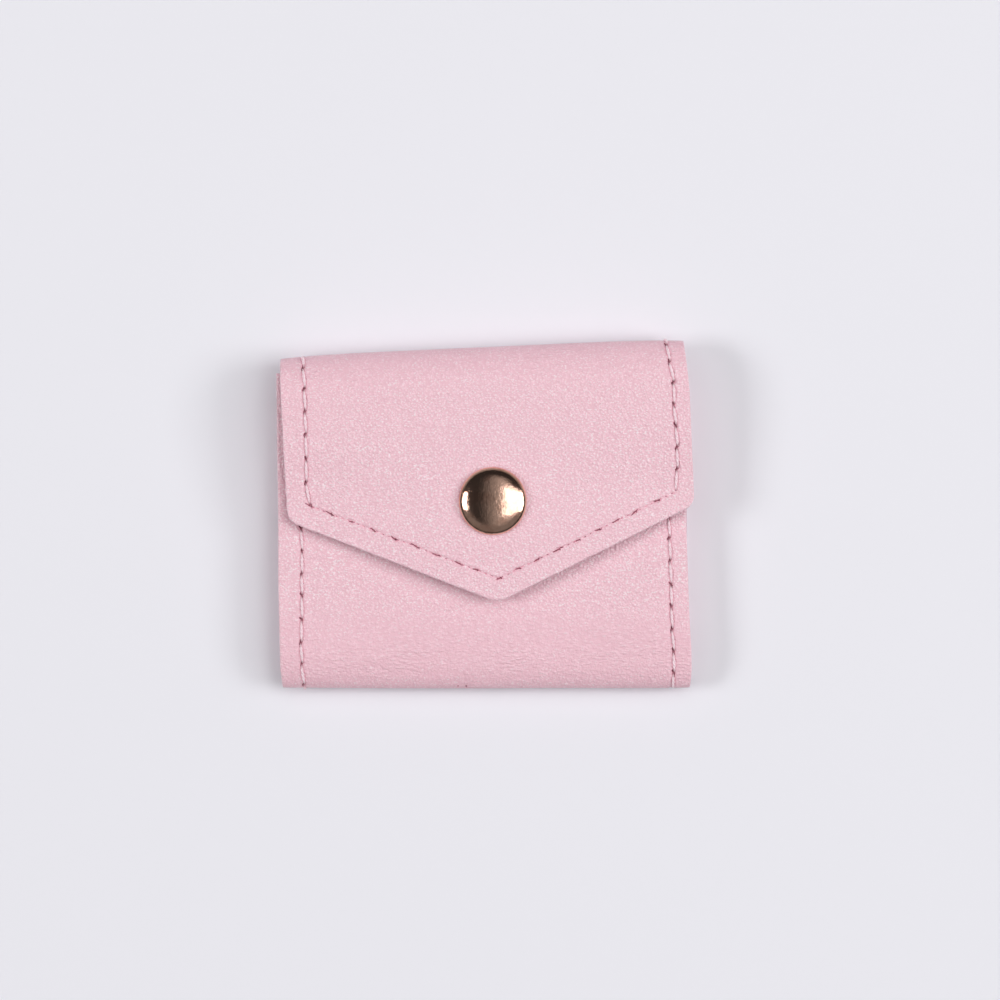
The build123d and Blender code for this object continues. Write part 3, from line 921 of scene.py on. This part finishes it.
@dataclass(frozen=True)
class ThreadFinish:
    """Glossy twisted sewing thread."""

    name: str = "glossy_thread"
    colour: tuple = (0.99, 0.81, 0.86)
    shade: tuple = (0.9, 0.62, 0.7)
    # painted shade: the dark colour of the thread where it dives into the holes, and of a sunk stitch all
    # along
    dive_shade: tuple = (0.33, 0.09, 0.13)
    roughness: float = 0.22

    def build(self) -> Material:
        """Makes the material.

        Returns:
            The finished material.
        """
        work = Painter(bpy.data.materials.new(self.name))
        fibre = work.noise(work.place, 9000.0, 2.0)
        tone = work.mix("RGBA", work.ramp(fibre, 0.35, 0.6), self.shade, self.colour)
        # painted shade where the thread dives into the leather
        work.feed(work.surface, {"Base Color": work.mix("RGBA", work.mark("dive_shade"), tone, self.dive_shade),
                                 "Roughness": self.roughness, "Sheen Weight": 0.15})
        work.bump(fibre, 0.02, 0.6)
        return work.owner


@dataclass(frozen=True)
class MetalFinish:
    """Plated metal with faint wear."""

    name: str
    colour: tuple
    stain: tuple
    roughness: float
    wear: float = 0.05
    scratch: float = 0.3

    def build(self) -> Material:
        """Makes the material.

        Returns:
            The finished material.
        """
        work = Painter(bpy.data.materials.new(self.name))
        cloud = work.noise(work.place, 380.0, 3.0)
        tone = work.mix("RGBA", work.ramp(cloud, 0.42, 0.7), self.colour, self.stain)
        turned = work.mapped(work.place, Rotation=(0.0, 0.0, 0.9), Scale=(1.0, 0.06, 1.0))
        scratches = work.noise(turned, 9000.0, 2.0)
        varied = work.math("MULTIPLY_ADD", cloud, self.wear, self.roughness)
        lines = work.math("MULTIPLY", work.ramp(scratches, 0.62, 0.75), self.wear)
        work.feed(work.surface, {"Base Color": tone, "Metallic": 1.0,
                                 "Roughness": work.math("ADD", varied, lines)})
        pits = work.noise(work.place, 1600.0, 4.0)
        work.bump(work.math("MULTIPLY_ADD", scratches, 0.35, pits), 0.03, self.scratch)
        return work.owner


@dataclass
class Skin:
    """One layer of the strip, made in stretches that meet edge to edge."""

    strip: Strip
    seam: Seam
    layer: Layer
    finish: Material
    column_step: float = 0.7
    seam_step: float = 0.14
    seam_reach: float = 1.15
    row_step: float = 0.2
    flap_step: float = 0.2
    edge_steps: tuple = (0.0, 0.025, 0.07, 0.14, 0.24, 0.5)
    nick_steps: tuple = (-0.3, -0.15, 0.0, 0.15, 0.3)
    thinnest: float = 0.12
    edge_shade: float = 0.16

    @property
    def depths(self) -> tuple[float, float]:
        """Depth of the layer's two faces below the strip's outer face."""
        strip = self.strip
        return (0.0, strip.leather) if self.layer is Layer.LEATHER else (strip.leather, strip.panel)

    def columns(self, step: float) -> Array:
        """Places across the strip: fine at both edges and at the seams.

        Args:
            step: the widest step between them.

        Returns:
            The places, from left to right.
        """
        half = self.strip.width / 2
        marks = [-half + e for e in self.edge_steps] + [half - e for e in self.edge_steps]
        fine = []
        for seam in (self.seam.left, self.seam.right):
            count = round(2 * self.seam_reach / self.seam_step)
            fine += list(np.linspace(seam - self.seam_reach, seam + self.seam_reach, count + 1))
        nicked = [nick[0] + offset for nick in self.strip.nicks for offset in self.nick_steps]
        inner = sorted(marks + fine + nicked)
        found = [inner[0]]
        for value in inner[1:]:
            gap = value - found[-1]
            if gap > step * 1.3:
                parts = round(gap / step)
                found += [found[-1] + gap * (i + 1) / parts for i in range(parts - 1)]
            found.append(value)
        return np.array(found)

    def rows(self, stretch: Stretch, x: Array) -> Array:
        """Places along the strip for each column of a stretch.

        Args:
            stretch: the stretch that is filled.
            x: places across the strip.

        Returns:
            One row of places for each step along the stretch.
        """
        seam_guard = 0.05
        start = stretch.start
        if np.isfinite(stretch.end):
            count = max(2, round((stretch.end - start) / self.row_step))
            s = np.linspace(start, stretch.end, count + 1)
            head = np.array(self.edge_steps[1:]) if start == 0.0 else np.array([start + seam_guard])
            s = np.unique(np.concatenate([s, head, [stretch.end - seam_guard]]).round(4))
            return np.repeat(s[:, None], len(x), 1)
        level = self.strip.flap_start + 3.0
        first = np.concatenate([np.arange(start, level, self.row_step), [start + seam_guard, level]])
        first = np.unique(first.round(4))
        end = self.strip.outline(x)
        reach = self.seam.point_reach
        back = np.concatenate([np.array(self.edge_steps), np.arange(0.9, reach - 1.2, 0.4),
                               np.arange(reach - 1.1, reach + 1.1, self.seam_step)])
        edge_rows = end[None, :] - back[::-1][:, None]
        top = end - back[-1]
        count = round((float(end.max()) - back[-1] - level) / self.flap_step / 1.6)
        share = np.linspace(0.0, 1.0, count + 1)[1:-1]
        between = level + (top - level)[None, :] * share[:, None]
        return np.concatenate([np.repeat(first[:, None], len(x), 1), between, edge_rows], 0)

    def build(self, stretch: Stretch) -> Piece:
        """Makes the layer's mesh over one stretch.

        Args:
            stretch: the stretch that is made.

        Returns:
            The piece, tied to its bodies.
        """
        leather = self.layer is Layer.LEATHER
        step = self.flap_step if stretch.name == "flap" else self.column_step
        across = self.columns(step if leather else 2.0 * step)
        s = self.rows(stretch, across)
        x = across + np.zeros_like(s)
        point, normal = self.strip.at(x, s)
        edge = self.strip.from_edge(x, s)
        radius = self.strip.edge_radius
        round_off = radius - np.sqrt(np.maximum(radius**2 - np.maximum(radius - edge, 0.0) ** 2, 0.0))
        pressed, dark = self.seam.press(x, s)
        outer, inner = self.depths
        near = outer + round_off + pressed - self.strip.wrinkles(x, s) if leather else outer + 0.0 * x
        far = inner + 0.0 * x if leather else inner - round_off - np.clip(pressed, 0.0, 0.3) * 0.4
        far = np.maximum(far, near + self.thinnest)
        top = point - normal * near[..., None]
        low = point - normal * far[..., None]
        count = x.size
        grid = np.arange(count).reshape(x.shape)
        points = np.concatenate([top.reshape(-1, 3), low.reshape(-1, 3)])
        middle_x, middle_s = ((v[:-1, :-1] + v[1:, 1:]) / 2 for v in (x, s))
        faces = sheet_faces(grid, count, self.strip.pierced(middle_x, middle_s))
        cut_edge, full = bell(edge, self.edge_shade).ravel(), np.ones(count)
        # the needle mark carries the painted shade of the needle holes, the grooves and the stitches' sides,
        # and the nicks' dark marks
        marks = {"needle": np.tile(dark.ravel(), 2), "crease": np.tile(self._crease(x, s).ravel(), 2),
                 "edge": np.concatenate([cut_edge, full] if leather else [full, cut_edge])}
        piece = make_piece(f"{stretch.name}_{self.layer.value}", points, faces, self.finish, marks)
        drop_loose(piece.data)
        slot, prefix = ("outer_leather", "outer") if leather else ("lining", "lining")
        stretch.settle(piece, self.strip, prefix)
        return piece

    def _crease(self, x: Array, s: Array) -> Array:
        """How far the grain is drawn out into lines across the strip, near its folds.

        Args:
            x: places across the strip.
            s: places along the strip.

        Returns:
            A share from 0 to 1 at each place.
        """
        strip = self.strip
        low = bell(s - strip.bottom_start - 2.0, 6.5)
        high = 0.55 * bell(s - strip.on_top_fold(10.0), 8.0)
        patchy = 0.75 + 0.25 * value_noise(x / 5.0, s / 3.0, 31)
        return np.clip((low + high) * patchy, 0.0, 1.0)


@dataclass
class Thread:
    """The sewing thread: each stitch is two plies twisted together, diving into its needle holes."""

    strip: Strip
    seam: Seam
    finish: Material
    ply_radius: float = 0.17
    ply_offset: float = 0.12
    twist_pitch: float = 1.7
    dive_depth: float = 0.42
    proud_crown: float = 0.08
    flush_crown: float = -0.31
    sunk_crown: float = -0.5
    seed: int = 41
    steps: int = 17
    sides: int = 8

    def _ply(self, stitch: Stitch, phase: float, inside: bool) -> tuple[Array, list, Array]:
        """One ply of a stitch.

        Args:
            stitch: the stitch that it belongs to.
            phase: where it starts round the twist, in radians.
            inside: whether it lies on the lining instead of the leather.

        Returns:
            Its points, its faces and the painted shade at each point: 0 where the ply shows, 1 where it has
            dived into the leather.
        """
        share = np.linspace(-0.02, 1.02, self.steps)
        x = stitch.x0 + (stitch.x1 - stitch.x0) * share
        s = stitch.s0 + (stitch.s1 - stitch.s0) * share
        point, normal = self.strip.at(x, s)
        if inside:
            point = point - normal * self.strip.panel
            normal = -normal
        arch = np.clip(np.sin(np.pi * np.clip(share, 0.0, 1.0)), 0.0, 1.0)
        rise = arch ** 0.42
        lie = Lie.PROUD if inside else stitch.lie
        crown = {Lie.PROUD: self.proud_crown, Lie.SUNK: self.sunk_crown, Lie.FLUSH: self.flush_crown}[lie]
        height = (self.dive_depth + crown) * rise - self.dive_depth
        centre = point + normal * height[:, None]
        along = np.gradient(centre, axis=0)
        along /= np.linalg.norm(along, axis=1, keepdims=True)
        side = np.cross(along, normal)
        side /= np.linalg.norm(side, axis=1, keepdims=True)
        up = np.cross(side, along)
        length = float(np.hypot(stitch.x1 - stitch.x0, stitch.s1 - stitch.s0))
        twist = phase + 2 * np.pi * share * length / self.twist_pitch
        squeeze = 0.45 + 0.7 * arch
        offset = self.ply_offset * squeeze
        core = centre + side * (offset * np.cos(twist))[:, None]
        core = core + up * (offset * np.sin(twist) * 0.8)[:, None]
        ring = np.linspace(0, 2 * np.pi, self.sides, endpoint=False)
        radius = (self.ply_radius * squeeze)[:, None, None]
        around = side[:, None] * np.cos(ring)[:, None] + up[:, None] * np.sin(ring)[:, None]
        points = core[:, None] + radius * around
        grid = np.arange(self.steps * self.sides).reshape(self.steps, self.sides)
        turned = np.roll(grid, -1, 1)
        quads = np.stack([grid[:-1], grid[1:], turned[1:], turned[:-1]], -1).reshape(-1, 4).tolist()
        caps = [grid[0].tolist(), grid[-1][::-1].tolist()]
        # painted shade: 1 where the ply dives into its hole, and all along a sunk stitch
        shown = 0.0 if lie is Lie.SUNK else smooth(rise * 1.6 - 0.45)
        dive_shade = np.repeat(1.0 - shown + 0.0 * rise, self.sides)
        return points.reshape(-1, 3), quads + caps, dive_shade

    def build(self, stretch: Stretch, inside: bool = False) -> Piece | None:
        """Makes the stitches whose middle lies on one stretch.

        Args:
            stretch: the stretch that they are sewn on.
            inside: whether they lie on the lining.

        Returns:
            The piece, or None where the stretch has no stitch.
        """
        points, faces, dive_shades, count = [], [], [], 0
        picked = np.random.default_rng(self.seed)
        for stitch in self.seam.stitches:
            phase = picked.uniform(0, 2 * np.pi)
            if not stretch.start <= (stitch.s0 + stitch.s1) / 2 < stretch.end:
                continue
            for ply in (0.0, np.pi):
                made, quads, dive_shade = self._ply(stitch, phase + ply, inside)
                faces += [[number + count for number in face] for face in quads]
                points.append(made)
                dive_shades.append(dive_shade)
                count += len(made)
        if not points:
            return None
        name = f"{stretch.name}_{'inner_' if inside else ''}stitching"
        marks = {"dive_shade": np.concatenate(dive_shades)}
        piece = make_piece(name, np.concatenate(points), faces, self.finish, marks)
        stretch.settle(piece, self.strip, "stitching")
        return piece


@dataclass
class Gusset:
    """A side gusset: a strip folded inwards between the front and the back."""

    strip: Strip
    finish: Material
    side: int
    thickness: float = 0.8
    wave_height: float = 0.12
    inset: float = 0.5
    flange: float = 5.0
    fold_depth: float = 6.5
    top_y: float = 25.7
    end_clearance: float = 0.3
    crease_reach: float = 0.75
    rows: int = 90
    columns: int = 161

    def _course(self) -> tuple[Array, Array, Array, Array]:
        """The folded section in X and Z, its creases rounded.

        Returns:
            X and Z of the points on its face towards the linings, and of their normals.
        """
        edge = self.strip.width / 2 - self.inset
        crease = edge - self.flange
        low, high = self.strip.panel, self.strip.front_level - self.strip.panel
        tip = crease - self.fold_depth
        middle = (low + high) / 2
        corners = np.array([(edge, low), (crease, low), (tip, middle), (crease, high), (edge, high)])
        length = np.concatenate([[0.0], np.cumsum(np.linalg.norm(np.diff(corners, axis=0), axis=1))])
        even = np.linspace(0.0, length[-1], self.columns)
        course = np.stack([np.interp(even, length, corners[:, axis]) for axis in (0, 1)], -1)
        reach = round(self.crease_reach / even[1])
        kernel = np.ones(2 * reach + 1) / (2 * reach + 1)
        for _ in range(2):
            before = 2 * course[0] - course[reach:0:-1]
            after = 2 * course[-1] - course[-2:-reach - 2:-1]
            longer = np.concatenate([before, course, after])
            course = np.stack([np.convolve(longer[:, axis], kernel, mode="valid") for axis in (0, 1)], -1)
        run = np.gradient(course, axis=0)
        run /= np.linalg.norm(run, axis=1, keepdims=True)
        return course[:, 0], course[:, 1], run[:, 1], -run[:, 0]

    def build(self) -> Piece:
        """Makes the gusset, folded between back and front.

        Returns:
            The piece.
        """
        x, z, nx, nz = self._course()
        strip = self.strip
        reach = []
        for level, depth in ((strip.front_level, strip.bottom_depth), (strip.flap_level, strip.top_depth)):
            inner = np.clip(1 - ((z - level / 2) / (level / 2 - strip.panel)) ** 2, 0.0, 1.0)
            reach.append((depth - strip.panel - self.end_clearance) * np.sqrt(inner))
        low = strip.bottom_depth - strip.half_height - reach[0]
        high = np.minimum(self.top_y, strip.skewed(self.side * x, reach[1])[1])
        share = np.linspace(0.0, 1.0, self.rows)[:, None]
        y = low + (high - low) * share
        level = z + np.zeros_like(y)
        wave = self.wave_height * value_noise(y / 9.0, level / 2.0, 51) * np.sin(np.pi * share)
        grid_x = x + wave * np.abs(nx)
        outer = np.stack([self.side * grid_x, y, level], -1)
        offset = np.stack([self.side * nx, np.zeros_like(nx), nz], -1) * self.thickness
        inward = outer + offset[None]
        count = grid_x.size
        grid = np.arange(count).reshape(grid_x.shape)
        faces = sheet_faces(grid, count)
        if self.side > 0:
            faces = [face[::-1] for face in faces]
        points = np.concatenate([outer.reshape(-1, 3), inward.reshape(-1, 3)])
        zero = np.zeros(len(points))
        marks = {"needle": zero, "edge": zero, "crease": zero + 0.3}
        name = f"gusset_bellows_{'left' if self.side < 0 else 'right'}"
        piece = make_piece(name, points, faces, self.finish, marks)
        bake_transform(piece)
        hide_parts(f"gusset_{'left' if self.side < 0 else 'right'}")
        return piece


@dataclass
class SnapCap:
    """The domed cap of the snap, a thin polished shell with its rim rolled in underneath."""

    strip: Strip
    finish: Material
    radius: float = 6.25
    height: float = 2.3
    wall: float = 0.35
    rim: float = 0.5
    rim_flat: float = 0.75
    turns: int = 144

    def _section(self, inset: float) -> Array:
        """Points of the dome's half section, from the foot's inner edge to the top.

        Args:
            inset: how far inside the cap's outer face they lie.

        Returns:
            Radius and height of each point.
        """
        rim, level = self.rim - inset, self.rim
        points = [(self.radius - self.rim - self.rim_flat, inset)]
        for angle in np.radians(np.linspace(-90, 0, 9)):
            points.append((self.radius - self.rim + rim * cos(angle), level + rim * sin(angle)))
        for angle in np.radians(np.linspace(0, 90, 40)[1:]):
            rise = (self.height - level - inset) * sin(angle)
            points.append(((self.radius - inset) * cos(angle), level + rise))
        return np.array(points)

    def build(self) -> Piece:
        """Makes the cap and sets it on the flap.

        Returns:
            The piece.
        """
        outer, inner = self._section(0.0), self._section(self.wall)[::-1]
        section = np.concatenate([outer, inner])
        angle = np.linspace(0, 2 * np.pi, self.turns, endpoint=False)
        strip = self.strip
        middle_x, middle_y = strip.skewed(strip.snap_shift, -strip.snap_line)
        ring = np.stack([section[:, 0, None] * np.cos(angle), section[:, 0, None] * np.sin(angle),
                         np.repeat(section[:, 1, None], self.turns, 1)], -1)
        ring = ring + np.array([middle_x, middle_y, strip.flap_level])
        rows = len(section)
        keep = np.arange(rows * self.turns).reshape(rows, self.turns)
        turned = np.roll(keep, -1, 1)
        following = np.roll(keep, -1, 0)
        following_turned = np.roll(following, -1, 1)
        quads = np.stack([keep, turned, following_turned, following], -1)
        pole_out, pole_in = len(outer) - 1, len(outer)
        used = [i for i in range(rows) if i not in (pole_out - 1, pole_out, pole_in)]
        faces = quads[used].reshape(-1, 4).tolist()
        points = ring.reshape(-1, 3)
        top, under = pole_out - 1, pole_in + 1
        for j in range(self.turns):
            faces.append([int(keep[top, j]), int(turned[top, j]), int(keep[pole_out, 0])])
        for j in range(self.turns):
            faces.append([int(keep[pole_in, 0]), int(turned[under, j]), int(keep[under, j])])
        piece = make_piece("snap_cap_dome", points, faces, self.finish, sharp=70.0)
        drop_loose(piece.data)
        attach(piece, "flap")
        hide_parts("snap_cap")
        return piece


@dataclass(frozen=True)
class Lamp:
    """A soft lamp that faces the pouch: where it stands, its size and its share of the table's light.

    The azimuth runs from +X towards +Y and the elevation from the table, in degrees; the distance,
    the length along the table and the other side are in millimetres.
    """

    name: str
    azimuth: float
    elevation: float
    distance: float
    long: float
    high: float
    share: float
    mirrored: bool = True

    def build(self) -> None:
        """Sets the lamp up, seen in polished metal only where it is mirrored."""
        turn, rise, reach = radians(self.azimuth), radians(self.elevation), self.distance * MM
        data = bpy.data.lights.new(self.name, "AREA")
        data.shape = "RECTANGLE"
        data.size, data.size_y = self.high * MM, self.long * MM
        data.energy = self.share * (pi * reach) ** 2 / sin(rise)
        lamp = bpy.data.objects.new(self.name, data)
        lamp.location = (reach * cos(rise) * cos(turn), reach * cos(rise) * sin(turn), reach * sin(rise))
        lamp.rotation_euler = (0.0, radians(90.0 - self.elevation), turn)
        lamp.visible_glossy = self.mirrored
        bpy.context.scene.collection.objects.link(lamp)


@dataclass
class Studio:
    """A plain pale table, soft lamps on both sides and a camera straight above."""

    table_colour: tuple = (0.823, 0.815, 0.863)
    frame_width: float = 184.0
    distance: float = 900.0
    look_x: float = 2.67
    look_y: float = 3.48
    level: float = 11.7
    lamps: tuple = (
        Lamp("right_lamp", 0.0, 37.5, 1600.0, 860.0, 520.0, 0.21),
        Lamp("left_lamp", 180.0, 41.0, 1600.0, 620.0, 470.0, 0.235),
        Lamp("upper_right_lamp", 0.0, 63.0, 1800.0, 1100.0, 960.0, 0.19),
        Lamp("upper_fill", 90.0, 71.0, 2000.0, 2000.0, 1500.0, 0.285, mirrored=False),
    )
    low_sky: tuple = (0.05, 0.36)
    middle_sky: tuple = (0.2, 0.03)
    high_sky: tuple = (0.03, 0.55)
    seen_sky: float = 0.86
    table_half: float = 4000.0
    table_gap: float = 0.01
    sensor: float = 36.0

    def build(self) -> None:
        """Sets the table, the lamps, the sky and the camera."""
        self._table()
        for lamp in self.lamps:
            lamp.build()
        self._sky()
        self._camera()
        bpy.context.scene.view_settings.view_transform = "Standard"

    def _table(self) -> None:
        """Makes the table top."""
        work = Painter(bpy.data.materials.new("pale_table"))
        paler = tuple(min(1.0, c * 1.006) for c in self.table_colour)
        cloud = work.noise(work.place, 9.0, 2.0)
        work.feed(work.surface, {"Base Color": work.mix("RGBA", cloud, self.table_colour, paler),
                                 "Roughness": 0.9, "Specular IOR Level": 0.0})
        half, gap = self.table_half, self.table_gap
        corners = np.array([(x * half, y * half, -gap) for x, y in ((-1, -1), (1, -1), (1, 1), (-1, 1))])
        table = make_piece("table", corners, [[0, 1, 2, 3]], work.owner)

    def _sky(self) -> None:
        """Soft light from all round, in three rings: near the table, halfway up, and overhead."""
        bpy.context.scene.world = bpy.data.worlds.new("studio")
        work = Painter(bpy.context.scene.world, "Background", "Generated")
        x, y, z = (work.node("ShaderNodeSeparateXYZ", {0: work.place}, axis) for axis in "XYZ")
        low = work.ramp(y, -0.2, 0.6, self.low_sky)
        middle = work.ramp(y, -0.5, 0.2, self.middle_sky)
        high = work.ramp(x, -0.3, 0.4, self.high_sky)
        lower = work.mix("FLOAT", work.ramp(z, 0.3, 0.45), low, middle)
        light = work.mix("FLOAT", work.ramp(z, 0.76, 0.88), lower, high)
        seen = work.node("ShaderNodeLightPath", {}, "Is Camera Ray")
        work.feed(work.surface, {"Color": (1.0, 1.0, 1.0),
                                 "Strength": work.mix("FLOAT", seen, light, self.seen_sky)})

    def _camera(self) -> None:
        """Adds the camera, straight above the pouch with its top towards +Y."""
        data = bpy.data.cameras.new("camera")
        data.sensor_width = self.sensor
        data.lens = self.sensor * self.distance / self.frame_width
        data.clip_start, data.clip_end = 0.01, 50.0
        camera = bpy.data.objects.new("camera", data)
        camera.location = (self.look_x * MM, self.look_y * MM, (self.level + self.distance) * MM)
        bpy.context.scene.collection.objects.link(camera)
        bpy.context.scene.camera = camera


def dress_snap(metal: Material, wire: Material) -> None:
    """Gives the inner snap parts their finish.

    Args:
        metal: the plated finish of the post, socket, stud and eyelet.
        wire: the spring's finish.
    """
    for name in ("snap_cap_post", "snap_socket", "snap_stud", "snap_eyelet", "snap_spring"):
        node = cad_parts[name]
        finish = wire if name == "snap_spring" else metal
        node.data.materials.clear()
        node.data.materials.append(finish)
        LOG.info("%s dressed", name)


def main() -> None:
    """Builds the pouch's pieces in their order and sets the studio."""
    logging.basicConfig(level=logging.INFO)
    strip = Strip()
    seam = Seam(strip)
    leather = LeatherFinish().build()
    lining = LiningFinish().build()
    thread = ThreadFinish().build()
    gold = MetalFinish("pale_gold", (0.88, 0.56, 0.43), (0.74, 0.43, 0.32), 0.1, scratch=0.8).build()
    plated = MetalFinish("plated_brass", (0.80, 0.66, 0.46), (0.70, 0.55, 0.36), 0.28).build()
    steel = MetalFinish("spring_wire", (0.62, 0.61, 0.60), (0.5, 0.49, 0.48), 0.3).build()
    outer = Skin(strip, seam, Layer.LEATHER, leather)
    inner = Skin(strip, seam, Layer.LINING, lining)
    sewing = Thread(strip, seam, thread)
    for stretch in stretches(strip):
        outer.build(stretch)
        inner.build(stretch)
        sewing.build(stretch)
        if stretch.name in ("fold_low", "fold_high", "flap"):
            sewing.build(stretch, inside=True)
    for side in (-1, 1):
        Gusset(strip, leather, side).build()
    SnapCap(strip, gold).build()
    dress_snap(plated, steel)
    Studio().build()
    bpy.context.view_layer.update()


if __name__ == "__main__":
    main()
